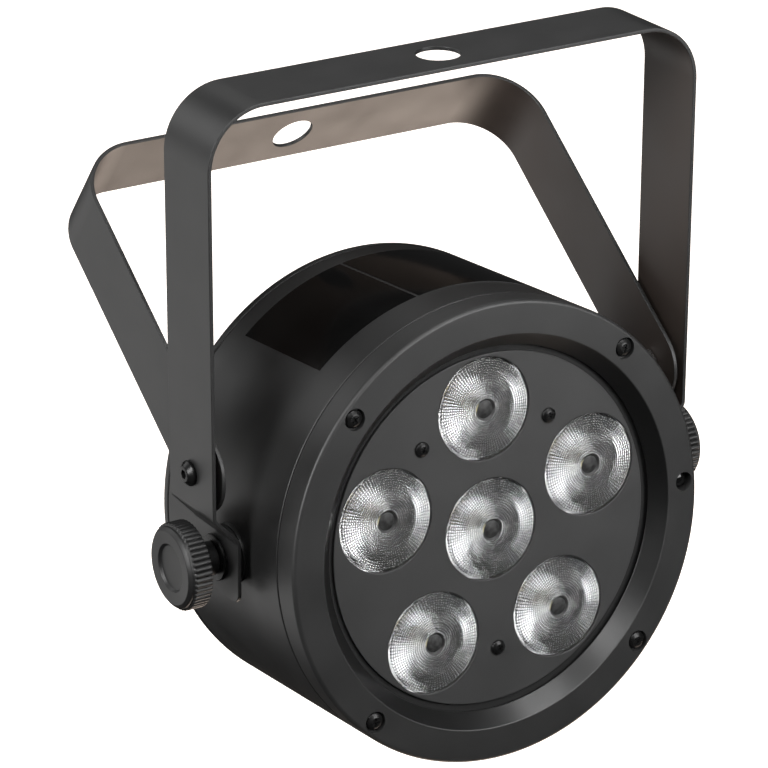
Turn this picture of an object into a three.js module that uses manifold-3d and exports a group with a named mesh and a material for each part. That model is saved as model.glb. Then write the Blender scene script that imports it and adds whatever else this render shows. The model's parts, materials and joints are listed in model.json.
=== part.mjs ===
// A small round LED wash light (par can) on a double yoke.
//
// Units are millimetres.  The origin is the centre of the clamp hole in the outer yoke's crossbar,
// on the crossbar's top face, because the light hangs from there.  +Z is up, the tilt axis runs
// along X and the light leaves towards -Y.

import * as THREE from 'three';
import { mergeVertices } from 'three/addons/utils/BufferGeometryUtils.js';
import Module from 'manifold-3d';

const wasm = await Module();
wasm.setup();

// ---- driving dimensions -------------------------------------------------------------------------

const GAP = 0.3;                    // left between pieces that touch

// yokes: two bent steel strips, the inner one hinged on the outer one above the tilt axis
const STRIP_WIDTH = 24.8;
const STRIP_THICKNESS = 1.2;
const CLAMP_HOLE_RADIUS = 6.5;
const OUTER_HEIGHT = 139.2;         // tilt axis to the crossbar's top face
const OUTER_HALF_WIDTH = 82.5;      // outer face of the upper legs
const LOW_LEG_HALF_WIDTH = 74.6;    // outer face of the legs where the knobs clamp them
const JOG_TOP = 17.4;               // the legs step inwards between these heights above the tilt axis
const JOG_BOTTOM = 8.8;
const JOG_BEND = 2.5;
const OUTER_LEG_END = 10.5;           // how far the legs reach below the tilt axis
const OUTER_LEG_CORNER = 3;
const CORNER_BEND = 17.5;             // bend radius of the crossbars' corners, on the centre line
const HINGE_UP = 28.2;              // the inner yoke's hinge above the tilt axis
const INNER_HEIGHT = 104.1;         // hinge to the inner crossbar's outer face
const INNER_HALF_WIDTH = 79.2;
const INNER_SWING = 52.1;           // degrees the inner yoke is swung back from the outer one
const LAMP_TILT = -4.95;             // degrees about X: the lamp looks slightly up

// lamp body: everything round is centred on the lamp's own Y axis, which crosses the tilt axis
const BODY_RADIUS = 70;
const WALL = 2.6;
const FRONT_Y = -36;                // front face of the bezel
const BEZEL_BACK_Y = -26.9;
const COVER_FRONT_Y = 37;
const REAR_Y = 41;
const BEZEL_INNER_RADIUS = 59.9;    // inner edge of the flat front face
const BEZEL_LIP_RADIUS = 55.2;      // where the inner bevel ends, in front of the face plate
const FRONT_TURN = 1.25;             // degrees the whole front is turned about the lamp's axis
const BEZEL_SCREW_CIRCLE = 65.5;
const BEZEL_SCREW_ANGLES = [45, 135, 225, 315];
const RECEIVER_ANGLE = 0;

const PLATE_FRONT_Y = -30.7;
const PLATE_THICKNESS = 1.5;
const PLATE_RADIUS = 58;
const LENS_CIRCLE = 37.1;
const LENS_RADIUS = 15.3;
const LENS_SEGMENTS = 16;
const LENS_ANGLES = [90, 18, -54, -126, 162];
const FACE_SCREW_CIRCLE = 37.2;
const FACE_SCREW_ANGLES = [54, 126, -90];

const BOARD_FRONT_Y = -13;
const BOARD_THICKNESS = 1.6;
const BOARD_RADIUS = 52;
const SINK_FRONT_Y = -11.1;
const SINK_BASE = 4;
const SINK_BACK_Y = 4;

const PANEL_Y = 39;                 // the recessed flat panel of the rear cover
const REAR_SCREW_CIRCLE = 64.5;
const REAR_SCREW_ANGLES = [45, 135, 225, 315];
const BUTTON_XS = [-22.5, -7.5, 7.5, 22.5];
const BUTTON_Z = 11;
const BUTTON_RADIUS = 3;
const BUTTON_TRAVEL = 0.6;
const WINDOW = { width: 36, height: 15, z: 29 };
const SOCKET = { x: 31, z: -12, radius: 11.4, flange: 13 };
const INLET = { width: 28, height: 20, flangeWidth: 34, flangeHeight: 26, z: -41 };

// pivots
const STUD_RADIUS = 3;
const STUD_HOLE_RADIUS = 3.4;
const PAD_RADIUS = 9;
const PAD_FACE_X = 70.6;            // flat boss on the housing's side
const KNOB_RADIUS = 13;
const KNOB_OUTER_X = 90;
const KNOB_INNER_X = 82.7;
const KNOB_HUB_RADIUS = 5;
const KNOB_RIBS = 24;
const KNOB_RIB_DEPTH = 0.6;
const HINGE_BOLT_RADIUS = 2;
const HINGE_HOLE_RADIUS = 2.4;

const FINE = 40;                    // segments round the body
const MEDIUM = 20;
const COARSE = 12;
const TINY = 8;

// ---- materials ----------------------------------------------------------------------------------

const paint = new THREE.MeshStandardMaterial({ color: 0x2b2b2c, roughness: 0.55, metalness: 0.1 });
const bodyPlastic = new THREE.MeshStandardMaterial({ color: 0x18181a, roughness: 0.42 });
const platePaint = new THREE.MeshStandardMaterial({ color: 0x242426, roughness: 0.7 });
const knobPlastic = new THREE.MeshStandardMaterial({ color: 0x1a1a1b, roughness: 0.5 });
const darkGloss = new THREE.MeshStandardMaterial({ color: 0x08080a, roughness: 0.15 });
const clear = new THREE.MeshStandardMaterial({ color: 0xe4e6e8, roughness: 0.1 });
const emitterYellow = new THREE.MeshStandardMaterial({ color: 0xc9b64a, roughness: 0.4 });
const blackSteel = new THREE.MeshStandardMaterial({ color: 0x151515, roughness: 0.35, metalness: 0.8 });
const steel = new THREE.MeshStandardMaterial({ color: 0xb8b8ba, roughness: 0.3, metalness: 0.9 });
const brass = new THREE.MeshStandardMaterial({ color: 0xb08d3c, roughness: 0.35, metalness: 0.9 });
const aluminium = new THREE.MeshStandardMaterial({ color: 0xa9acaf, roughness: 0.4, metalness: 0.9 });
const rubber = new THREE.MeshStandardMaterial({ color: 0x101010, roughness: 0.9 });
const nylon = new THREE.MeshStandardMaterial({ color: 0xd8d8d0, roughness: 0.5 });
const whiteBoard = new THREE.MeshStandardMaterial({ color: 0xdcdcd8, roughness: 0.5 });
const greenBoard = new THREE.MeshStandardMaterial({ color: 0x1d4a2c, roughness: 0.5 });

// ---- solids -------------------------------------------------------------------------------------

const radians = THREE.MathUtils.degToRad;

function solid(geometry) {
  const bare = geometry.clone();
  bare.deleteAttribute('normal');
  bare.deleteAttribute('uv');
  const merged = mergeVertices(bare, 1e-4);
  const mesh = new wasm.Mesh({
    numProp: 3,
    vertProperties: new Float32Array(merged.attributes.position.array),
    triVerts: new Uint32Array(merged.index.array),
  });
  mesh.merge();
  return new wasm.Manifold(mesh);
}

function geometryOf(manifold) {
  const mesh = manifold.getMesh();
  const geometry = new THREE.BufferGeometry();
  geometry.setAttribute('position', new THREE.BufferAttribute(new Float32Array(mesh.vertProperties), 3));
  geometry.setIndex(new THREE.BufferAttribute(new Uint32Array(mesh.triVerts), 1));
  return geometry;
}

const join = (first, ...others) => others.reduce((whole, part) => whole.add(part), first);
const cut = (first, ...others) => others.reduce((whole, part) => whole.subtract(part), first);

// a profile of [radius, height] points turned about Y; it starts and ends on the axis or closes
function turned(profile, segments) {
  return new THREE.LatheGeometry(profile.map(([r, y]) => new THREE.Vector2(r, y)), segments);
}

const ringProfile = (inner, outer, low, high) =>
  [[inner, low], [outer, low], [outer, high], [inner, high], [inner, low]];

const discProfile = (radius, low, high) => [[0, low], [radius, low], [radius, high], [0, high]];

// the same about X: heights become positions along X
function turnedX(profile, segments) {
  return turned(profile, segments).rotateZ(-Math.PI / 2);
}

// a rod along Y from one y to another, through (x, z)
function rodY(x, z, radius, low, high, segments = COARSE) {
  return solid(turned(discProfile(radius, low, high), segments).translate(x, 0, z));
}

// a rod along X from one x to another, through (0, z)
function rodX(z, radius, low, high, segments = COARSE) {
  return solid(turnedX(discProfile(radius, low, high), segments).translate(0, 0, z));
}

function rodZ(radius, low, high, segments = MEDIUM) {
  return solid(turned(discProfile(radius, low, high), segments).rotateX(Math.PI / 2));
}

function block(width, depth, height, x, y, z) {
  return solid(new THREE.BoxGeometry(width, depth, height).translate(x, y, z));
}

// a flat outline in X and Z, thickened along Y from frontY backwards
function slab(shape, frontY, thickness, segments) {
  const geometry = new THREE.ExtrudeGeometry(shape, {
    depth: thickness, bevelEnabled: false, curveSegments: segments,
  });
  return geometry.rotateX(Math.PI / 2).translate(0, frontY + thickness, 0);
}

// a point on a circle about the lamp's axis, in X and Z
function onCircle(radius, degrees) {
  const angle = radians(degrees + FRONT_TURN);
  return [radius * Math.cos(angle), radius * Math.sin(angle)];
}

// ---- yokes --------------------------------------------------------------------------------------

// The edge-on outline of a bent strip.  Its centre line runs through the corners, each rounded to
// its radius, and both faces keep the thickness all the way.
function stripShape(corners, radii, thickness) {
  const left = [];
  const right = [];
  const half = thickness / 2;
  const add = (point, normal) => {
    left.push(point.clone().addScaledVector(normal, half));
    right.push(point.clone().addScaledVector(normal, -half));
  };
  const normalOf = (direction) => new THREE.Vector2(-direction.y, direction.x);
  const last = corners.length - 1;
  const directions = corners.slice(1).map((corner, i) => corner.clone().sub(corners[i]).normalize());
  add(corners[0], normalOf(directions[0]));
  for (let i = 1; i < last; i += 1) {
    const before = directions[i - 1];
    const after = directions[i];
    const side = Math.sign(before.cross(after));
    const angle = Math.acos(before.dot(after));
    const radius = radii[i - 1];
    const start = corners[i].clone().addScaledVector(before, -radius * Math.tan(angle / 2));
    const centre = start.clone().addScaledVector(normalOf(before), side * radius);
    const steps = Math.max(3, Math.round(THREE.MathUtils.radToDeg(angle) / 10));
    for (let k = 0; k <= steps; k += 1) {
      const normal = normalOf(before).rotateAround(new THREE.Vector2(), side * angle * k / steps);
      add(centre.clone().addScaledVector(normal, -side * radius), normal);
    }
  }
  add(corners[last], normalOf(directions[last - 1]));
  return new THREE.Shape([...left, ...right.reverse()]);
}

// a bent strip trimmed to its side view, with its clamp hole and its pivot holes
function yoke(corners, radii, sideView, top, pivots) {
  const strip = slab(stripShape(corners, radii, STRIP_THICKNESS), -STRIP_WIDTH / 2, STRIP_WIDTH, COARSE);
  const span = 2 * OUTER_HALF_WIDTH + 20;
  const side = new THREE.ExtrudeGeometry(sideView, { depth: span, bevelEnabled: false, curveSegments: 12 });
  side.translate(0, 0, -span / 2);
  side.applyMatrix4(new THREE.Matrix4().makeBasis(
    new THREE.Vector3(0, 1, 0), new THREE.Vector3(0, 0, 1), new THREE.Vector3(1, 0, 0)));
  const holes = pivots.map(([height, radius]) => rodX(height, radius, -span / 2, span / 2));
  const clampHole = rodZ(CLAMP_HOLE_RADIUS, top - 10, top + 10);
  return geometryOf(cut(solid(strip).intersect(solid(side)), clampHole, ...holes));
}

function outerYoke() {
  const high = OUTER_HALF_WIDTH - STRIP_THICKNESS / 2;
  const low = LOW_LEG_HALF_WIDTH - STRIP_THICKNESS / 2;
  const top = OUTER_HEIGHT - STRIP_THICKNESS / 2;
  const right = [[low, -OUTER_LEG_END], [low, JOG_BOTTOM], [high, JOG_TOP], [high, top]];
  const left = right.map(([x, z]) => [-x, z]).reverse();
  const corners = [...right, ...left].map(([x, z]) => new THREE.Vector2(x, z));
  const radii = [JOG_BEND, JOG_BEND, CORNER_BEND, CORNER_BEND, JOG_BEND, JOG_BEND];
  const half = STRIP_WIDTH / 2;
  const straight = half - OUTER_LEG_CORNER;
  const lift = OUTER_LEG_CORNER - OUTER_LEG_END;
  const sideView = new THREE.Shape();
  sideView.moveTo(-half, OUTER_HEIGHT + 5);
  sideView.lineTo(-half, lift);
  sideView.absarc(-straight, lift, OUTER_LEG_CORNER, Math.PI, 1.5 * Math.PI);
  sideView.absarc(straight, lift, OUTER_LEG_CORNER, 1.5 * Math.PI, 2 * Math.PI);
  sideView.lineTo(half, OUTER_HEIGHT + 5);
  return yoke(corners, radii, sideView, OUTER_HEIGHT, [[0, STUD_HOLE_RADIUS], [HINGE_UP, HINGE_HOLE_RADIUS]]);
}

function innerYoke() {
  const half = STRIP_WIDTH / 2;
  const x = INNER_HALF_WIDTH - STRIP_THICKNESS / 2;
  const top = INNER_HEIGHT - STRIP_THICKNESS / 2;
  const corners = [[x, -half], [x, top], [-x, top], [-x, -half]].map((point) => new THREE.Vector2(...point));
  const sideView = new THREE.Shape();
  sideView.moveTo(-half, INNER_HEIGHT + 5);
  sideView.lineTo(-half, 0);
  sideView.absarc(0, 0, half, Math.PI, 2 * Math.PI);
  sideView.lineTo(half, INNER_HEIGHT + 5);
  return yoke(corners, [CORNER_BEND, CORNER_BEND], sideView, INNER_HEIGHT, [[0, HINGE_HOLE_RADIUS]]);
}

// ---- hinge between the yokes, drawn for the right-hand side -------------------------------------

function hingeBolt() {
  const face = OUTER_HALF_WIDTH + GAP;
  const end = INNER_HALF_WIDTH - STRIP_THICKNESS - 5;
  const profile = [[0, end], [HINGE_BOLT_RADIUS, end], [HINGE_BOLT_RADIUS, face], [3.8, face],
    [3.8, face + 0.7], [3.1, face + 1.7], [2.1, face + 2.1], [0, face + 2.2]];
  const socket = new THREE.CylinderGeometry(1.4, 1.4, 2.4, 6).rotateZ(Math.PI / 2).translate(face + 2.2, 0, 0);
  return geometryOf(cut(solid(turnedX(profile, COARSE)), solid(socket)));
}

function hingeNut() {
  const high = INNER_HALF_WIDTH - STRIP_THICKNESS - GAP;
  const thickness = 3.4;
  const hexagon = new THREE.CylinderGeometry(4.04, 4.04, thickness, 6).rotateZ(Math.PI / 2);
  hexagon.translate(high - thickness / 2, 0, 0);
  return geometryOf(cut(solid(hexagon), rodX(0, HINGE_BOLT_RADIUS + GAP, high - 6, high + 2)));
}

function hingeWasher() {
  const low = INNER_HALF_WIDTH + GAP;
  const high = OUTER_HALF_WIDTH - STRIP_THICKNESS - GAP;
  return turnedX(ringProfile(HINGE_HOLE_RADIUS, 5.5, low, high), COARSE);
}

// ---- tilt pivot, drawn for the right-hand side --------------------------------------------------

function knob() {
  const outline = new THREE.Shape();
  for (let i = 0; i < KNOB_RIBS; i += 1) {
    const step = 2 * Math.PI / KNOB_RIBS;
    const valley = KNOB_RADIUS - KNOB_RIB_DEPTH;
    const at = (radius, turn) => [radius * Math.cos(turn * step), radius * Math.sin(turn * step)];
    if (i === 0) outline.moveTo(...at(valley, -0.5));
    outline.lineTo(...at(KNOB_RADIUS, i));
    outline.lineTo(...at(valley, i + 0.5));
  }
  const depth = KNOB_OUTER_X - KNOB_INNER_X;
  const grip = new THREE.ExtrudeGeometry(outline, { depth, bevelEnabled: false });
  grip.rotateY(Math.PI / 2).translate(KNOB_INNER_X, 0, 0);
  const rim = turnedX([[0, KNOB_INNER_X - 1], [KNOB_RADIUS - 0.7, KNOB_INNER_X - 1],
    [KNOB_RADIUS - 0.7, KNOB_INNER_X], [KNOB_RADIUS + 0.1, KNOB_INNER_X + 0.6], [KNOB_RADIUS + 0.1, KNOB_OUTER_X - 1.2],
    [KNOB_RADIUS - 1.2, KNOB_OUTER_X], [0, KNOB_OUTER_X]], FINE);
  const hub = rodX(0, KNOB_HUB_RADIUS, LOW_LEG_HALF_WIDTH + 2 * GAP + 1, KNOB_INNER_X + 1, MEDIUM);
  const recess = rodX(0, 7, KNOB_OUTER_X - 1.5, KNOB_OUTER_X + 1, MEDIUM);
  const bore = rodX(0, STUD_RADIUS + GAP, LOW_LEG_HALF_WIDTH, KNOB_OUTER_X - 4);
  return geometryOf(cut(join(solid(grip).intersect(solid(rim)), hub), recess, bore));
}

function knobStud() {
  return turnedX([[0, 60], [2.4, 60], [STUD_RADIUS, 60.8], [STUD_RADIUS, KNOB_OUTER_X - 4.5],
    [0, KNOB_OUTER_X - 4.5]], COARSE);
}

function knobWasher() {
  const face = LOW_LEG_HALF_WIDTH + GAP;
  return turnedX(ringProfile(STUD_HOLE_RADIUS, 7, face, face + 1), MEDIUM);
}

function pivotPad() {
  const high = LOW_LEG_HALF_WIDTH - STRIP_THICKNESS - GAP;
  return turnedX(ringProfile(STUD_HOLE_RADIUS, PAD_RADIUS, PAD_FACE_X + GAP, high), MEDIUM);
}

function pivotInsert() {
  return turnedX(ringProfile(STUD_RADIUS + GAP, 4.3, 63, PAD_FACE_X - 0.2), COARSE);
}

// ---- housing ------------------------------------------------------------------------------------

function housingShell() {
  const front = BEZEL_BACK_Y + GAP;
  const back = COVER_FRONT_Y - GAP;
  const inner = BODY_RADIUS - WALL;
  let shell = solid(turned([[inner, front], [BODY_RADIUS - 0.4, front], [BODY_RADIUS, front + 0.4],
    [BODY_RADIUS, back - 0.4], [BODY_RADIUS - 0.4, back], [inner, back], [inner, front]], FINE));
  const holes = [];
  for (const angle of BEZEL_SCREW_ANGLES) {
    const [x, z] = onCircle(BEZEL_SCREW_CIRCLE, angle);
    shell = shell.add(rodY(x, z, 3.5, front, front + 11));
    holes.push(rodY(x, z, 1.7, front - 1, front + 10));
  }
  for (const angle of REAR_SCREW_ANGLES) {
    const [x, z] = onCircle(REAR_SCREW_CIRCLE, angle);
    shell = shell.add(rodY(x, z, 3.5, back - 11, back));
    holes.push(rodY(x, z, 1.7, back - 10, back + 1));
  }
  for (const side of [-1, 1]) {
    shell = shell.add(rodX(0, PAD_RADIUS, Math.min(side * 64, side * PAD_FACE_X),
      Math.max(side * 64, side * PAD_FACE_X), MEDIUM));
    holes.push(rodX(0, 4.6, Math.min(side * 60, side * 75), Math.max(side * 60, side * 75)));
  }
  return geometryOf(cut(shell, ...holes));
}

function frontBezel() {
  const inner = BODY_RADIUS - WALL;
  const lipY = PLATE_FRONT_Y - GAP;
  let bezel = solid(turned([[inner, BEZEL_BACK_Y], [inner, FRONT_Y + 2.9],
    [BEZEL_INNER_RADIUS + 1.6, FRONT_Y + 2.9], [PLATE_RADIUS + 0.6, lipY], [BEZEL_LIP_RADIUS, lipY],
    [BEZEL_INNER_RADIUS, FRONT_Y], [BODY_RADIUS - 1.2, FRONT_Y], [BODY_RADIUS - 0.35, FRONT_Y + 0.35],
    [BODY_RADIUS, FRONT_Y + 1.2], [BODY_RADIUS, BEZEL_BACK_Y - 0.4], [BODY_RADIUS - 0.4, BEZEL_BACK_Y],
    [inner, BEZEL_BACK_Y]], FINE));
  const holes = [];
  for (const angle of BEZEL_SCREW_ANGLES) {
    const [x, z] = onCircle(BEZEL_SCREW_CIRCLE, angle);
    bezel = bezel.add(rodY(x, z, 3.9, FRONT_Y + 2, BEZEL_BACK_Y));
    holes.push(rodY(x, z, 1.7, FRONT_Y - 1, BEZEL_BACK_Y + 1));
    holes.push(rodY(x, z, 3.3, FRONT_Y - 1, FRONT_Y + 1.5));
  }
  const [x, z] = onCircle(BEZEL_SCREW_CIRCLE, RECEIVER_ANGLE);
  bezel = bezel.add(rodY(x, z, 3.9, FRONT_Y + 2, BEZEL_BACK_Y - 3));
  holes.push(rodY(x, z, 2.9, FRONT_Y - 1, BEZEL_BACK_Y + 1));
  return geometryOf(cut(bezel, ...holes));
}

// a panhead screw along +Y with a cross recess, its head's underside at y = 0
function crossScrew(headRadius, headHeight, shankRadius, length) {
  const profile = [[0, -headHeight], [headRadius * 0.6, -headHeight * 0.95], [headRadius, -headHeight * 0.35],
    [headRadius, 0], [shankRadius, 0], [shankRadius, length - 0.8], [0, length]];
  const slot = headRadius * 1.1;
  const depth = headHeight * 0.6;
  const cross = [[slot, 0.55], [0.55, slot]].map(([w, h]) => block(w, depth * 2, h, 0, -headHeight, 0));
  return geometryOf(cut(solid(turned(profile, 12)), ...cross));
}

function irReceiver() {
  const low = FRONT_Y + 1.4;
  return turned([[0, low], [1.4, low + 0.3], [2.2, low + 1.1], [2.6, low + 2.3], [2.6, low + 7.5],
    [0, low + 7.5]], COARSE);
}

function facePlate() {
  const shape = new THREE.Shape();
  shape.absarc(0, 0, PLATE_RADIUS, 0, 2 * Math.PI);
  const hole = (x, z, radius) => {
    const path = new THREE.Path();
    path.absarc(x, z, radius, 0, 2 * Math.PI);
    shape.holes.push(path);
  };
  hole(0, 0, LENS_RADIUS + GAP);
  for (const angle of LENS_ANGLES) hole(...onCircle(LENS_CIRCLE, angle), LENS_RADIUS + GAP);
  for (const angle of FACE_SCREW_ANGLES) hole(...onCircle(FACE_SCREW_CIRCLE, angle), 1.6);
  return slab(shape, PLATE_FRONT_Y, PLATE_THICKNESS, COARSE);
}

// ---- light engine -------------------------------------------------------------------------------

// A solid clear lens: nearly flat front, a flange behind the face plate, a cone down to the emitter
// and a pocket that the emitter's dome looks into.
function lens() {
  const front = PLATE_FRONT_Y;
  const flange = PLATE_FRONT_Y + PLATE_THICKNESS + GAP;
  return turned([[0, front - 0.9], [LENS_RADIUS - 0.5, front - 0.1],
    [LENS_RADIUS, front + 0.4], [LENS_RADIUS, flange], [LENS_RADIUS + 1.1, flange],
    [LENS_RADIUS + 1.1, flange + 1.3], [6, -16.5], [3.4, -16.5], [3.4, -20], [0, -20.6]], LENS_SEGMENTS);
}

function emitter() {
  const dome = turned([[0, -16.8], [1.3, -16.4], [2.1, -15.4], [2.2, -13.9], [0, -13.9]], COARSE);
  return geometryOf(join(block(5, 1.1, 5, 0, -13.85, 0), solid(dome)));
}

function ledBoard() {
  const shape = new THREE.Shape();
  shape.absarc(0, 0, BOARD_RADIUS, 0, 2 * Math.PI);
  for (const angle of FACE_SCREW_ANGLES) {
    const path = new THREE.Path();
    path.absarc(...onCircle(FACE_SCREW_CIRCLE, angle), 1.7, 0, 2 * Math.PI);
    shape.holes.push(path);
  }
  return slab(shape, BOARD_FRONT_Y, BOARD_THICKNESS, TINY);
}

function heatSink() {
  const fins = 9;
  const pitch = 11;
  const finThickness = 2;
  const reach = BOARD_RADIUS + 2;
  let sink = block(2 * reach, SINK_BASE, 2 * reach, 0, SINK_FRONT_Y + SINK_BASE / 2, 0);
  const finDepth = SINK_BACK_Y - SINK_FRONT_Y;
  for (let i = 0; i < fins; i += 1) {
    const x = (i - (fins - 1) / 2) * pitch;
    sink = sink.add(block(finThickness, finDepth, 2 * reach, x, SINK_FRONT_Y + finDepth / 2, 0));
  }
  sink = sink.intersect(rodY(0, 0, BOARD_RADIUS, SINK_FRONT_Y - 5, SINK_BACK_Y + 5, MEDIUM));
  const holes = FACE_SCREW_ANGLES.map((angle) =>
    rodY(...onCircle(FACE_SCREW_CIRCLE, angle), 1.6, SINK_FRONT_Y - 1, SINK_FRONT_Y + SINK_BASE + 1.2));
  return geometryOf(cut(sink, ...holes));
}

// mains supply: a board across the housing with its transformer, capacitors, coil and input filter
function powerSupply() {
  const front = SINK_BACK_Y + 2.5;
  const face = front + 1.6;
  const parts = [
    block(92, 1.6, 58, 0, front + 0.8, 0),
    block(20, 10, 17, -6, face + 4.9, 8),
    block(24, 1.5, 22, -6, face + 9, 8),
    block(14, 9, 8, 33, face + 4.4, 17),
    block(10, 8, 12, -34, face + 3.9, -12),
    rodY(17, 10, 5, face - 0.1, face + 10.5),
    rodY(17, -3, 4, face - 0.1, face + 10),
    rodY(-30, 14, 6, face - 0.1, face + 8),
  ];
  return geometryOf(join(...parts));
}

// control board behind the display and the buttons, with a key switch under each button
function controlBoard() {
  const back = 32;
  const parts = [block(64, 1.6, 38, 0, back - 0.8, 21), block(34, 4, 13, 0, back + 1.9, WINDOW.z)];
  for (const x of BUTTON_XS) parts.push(block(6, 3, 6, x, back + 1.4, BUTTON_Z));
  return geometryOf(join(...parts));
}

// ---- rear cover and what it carries -------------------------------------------------------------

function rearCover() {
  const rim = BODY_RADIUS;
  let cover = solid(turned([[0, COVER_FRONT_Y], [rim - 0.4, COVER_FRONT_Y], [rim, COVER_FRONT_Y + 0.4],
    [rim, REAR_Y - 2.2], [rim - 0.65, REAR_Y - 0.65], [rim - 2.2, REAR_Y], [rim - 9, REAR_Y],
    [rim - 11, PANEL_Y], [0, PANEL_Y]], FINE));
  const low = COVER_FRONT_Y - 2;
  const high = REAR_Y + 2;
  const middle = (low + high) / 2;
  const cuts = [
    block(WINDOW.width + 2 * GAP, high - low, WINDOW.height + 2 * GAP, 0, middle, WINDOW.z),
    block(INLET.width + 2 * GAP, high - low, INLET.height + 2 * GAP, 0, middle, INLET.z),
    rodY(SOCKET.x, SOCKET.z, SOCKET.radius + GAP, low, high, MEDIUM),
    rodY(-SOCKET.x, SOCKET.z, SOCKET.radius + GAP, low, high, MEDIUM),
  ];
  for (const x of BUTTON_XS) cuts.push(rodY(x, BUTTON_Z, BUTTON_RADIUS + GAP, low, high));
  for (const angle of REAR_SCREW_ANGLES) {
    const [x, z] = onCircle(REAR_SCREW_CIRCLE, angle);
    cuts.push(rodY(x, z, 1.7, low, high));
    cuts.push(rodY(x, z, 3.1, REAR_Y - 1.6, high));
  }
  for (const side of [-1, 1]) {
    for (let i = 0; i < 4; i += 1) {
      cuts.push(block(2.4, high - low, 15, side * (34 + i * 5), middle, 20 - i * 2));
    }
  }
  cover = cut(cover, ...cuts);
  return geometryOf(cover);
}

function displayWindow() {
  return new THREE.BoxGeometry(WINDOW.width, 1.7, WINDOW.height).translate(0, PANEL_Y - 1, WINDOW.z);
}

// a push button: cap through the cover, collar behind it that stops it falling out
function button() {
  const collarFront = COVER_FRONT_Y - GAP - BUTTON_TRAVEL - 0.4;
  return turned([[0, collarFront], [BUTTON_RADIUS + 0.9, collarFront],
    [BUTTON_RADIUS + 0.9, COVER_FRONT_Y - GAP], [BUTTON_RADIUS, COVER_FRONT_Y - GAP],
    [BUTTON_RADIUS, PANEL_Y + 0.9], [BUTTON_RADIUS - 0.5, PANEL_Y + 1.4], [0, PANEL_Y + 1.5]], COARSE);
}

// round three-pole socket; the one for incoming data has pins, the other has holes
function dataSocket(pinned) {
  const flangeLow = PANEL_Y + GAP;
  const body = solid(turned([[0, 23], [SOCKET.radius, 23], [SOCKET.radius, flangeLow],
    [SOCKET.flange, flangeLow], [SOCKET.flange, flangeLow + 0.9], [SOCKET.flange - 0.6, flangeLow + 1.4],
    [0, flangeLow + 1.4]], MEDIUM));
  const poles = [-50, 90, 230].map((degrees) =>
    [4 * Math.cos(radians(degrees)), 4 * Math.sin(radians(degrees))]);
  if (pinned) {
    const cup = rodY(0, 0, 8.6, 27, REAR_Y + 2, MEDIUM);
    return geometryOf(join(cut(body, cup), ...poles.map(([x, z]) => rodY(x, z, 1.2, 26.5, 34.5, 12))));
  }
  const groove = solid(turned(ringProfile(8.2, 9.4, 35, REAR_Y + 2), MEDIUM));
  return geometryOf(cut(body, groove, ...poles.map(([x, z]) => rodY(x, z, 1.5, 29, REAR_Y + 2, 12))));
}

function powerInlet() {
  const flangeLow = PANEL_Y + GAP;
  const body = join(
    block(INLET.width, flangeLow - 22 + 0.1, INLET.height, 0, (22 + flangeLow + 0.1) / 2, 0),
    block(INLET.flangeWidth, 1.4, INLET.flangeHeight, 0, flangeLow + 0.7, 0));
  const mouth = block(24, 16, 16, 0, REAR_Y + 1 - 8, 0);
  const pins = [[-7, -1.5], [0, 2], [7, -1.5]].map(([x, z]) => block(2, 9, 5, x, 30.4, z));
  return geometryOf(join(cut(body, mouth), ...pins));
}

// ---- assembly -----------------------------------------------------------------------------------

const light = new THREE.Group();
const tiltAxis = new THREE.Group();
const innerGroup = new THREE.Group();
const lamp = new THREE.Group();
tiltAxis.position.z = -OUTER_HEIGHT;
innerGroup.position.z = HINGE_UP;
innerGroup.rotation.x = -radians(INNER_SWING);
lamp.rotation.x = radians(LAMP_TILT);
light.add(tiltAxis);
tiltAxis.add(innerGroup, lamp);

function place(group, name, geometry, material, x = 0, y = 0, z = 0) {
  const mesh = new THREE.Mesh(geometry, material);
  mesh.name = name;
  mesh.position.set(x, y, z);
  group.add(mesh);
  return mesh;
}

// a right-hand piece and the same piece turned half round to the left-hand side
function placePair(group, name, geometry, material, z = 0) {
  place(group, `${name}_right`, geometry, material, 0, 0, z);
  place(group, `${name}_left`, geometry.clone(), material, 0, 0, z).rotation.z = Math.PI;
}

place(tiltAxis, 'outer_yoke', outerYoke(), paint);
place(innerGroup, 'inner_yoke', innerYoke(), paint);
placePair(tiltAxis, 'hinge_bolt', hingeBolt(), blackSteel, HINGE_UP);
placePair(tiltAxis, 'hinge_nut', hingeNut(), steel, HINGE_UP);
placePair(tiltAxis, 'hinge_washer', hingeWasher(), nylon, HINGE_UP);

placePair(lamp, 'knob', knob(), knobPlastic);
placePair(lamp, 'knob_stud', knobStud(), steel);
placePair(lamp, 'knob_washer', knobWasher(), blackSteel);
placePair(lamp, 'pivot_pad', pivotPad(), rubber);
placePair(lamp, 'pivot_insert', pivotInsert(), brass);

place(lamp, 'housing_shell', housingShell(), bodyPlastic);
place(lamp, 'front_bezel', frontBezel(), bodyPlastic);
place(lamp, 'face_plate', facePlate(), platePaint);
BEZEL_SCREW_ANGLES.forEach((angle, i) => {
  const [x, z] = onCircle(BEZEL_SCREW_CIRCLE, angle);
  place(lamp, `bezel_screw_${i + 1}`, crossScrew(2.7, 1.5, 1.35, 14), blackSteel, x, FRONT_Y + 1.5 - GAP, z);
});
{
  const [x, z] = onCircle(BEZEL_SCREW_CIRCLE, RECEIVER_ANGLE);
  place(lamp, 'ir_receiver', irReceiver(), darkGloss, x, 0, z);
}
FACE_SCREW_ANGLES.forEach((angle, i) => {
  const [x, z] = onCircle(FACE_SCREW_CIRCLE, angle);
  place(lamp, `face_screw_${i + 1}`, crossScrew(2.3, 1.0, 1.2, 24), blackSteel, x, PLATE_FRONT_Y - GAP, z);
});

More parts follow.
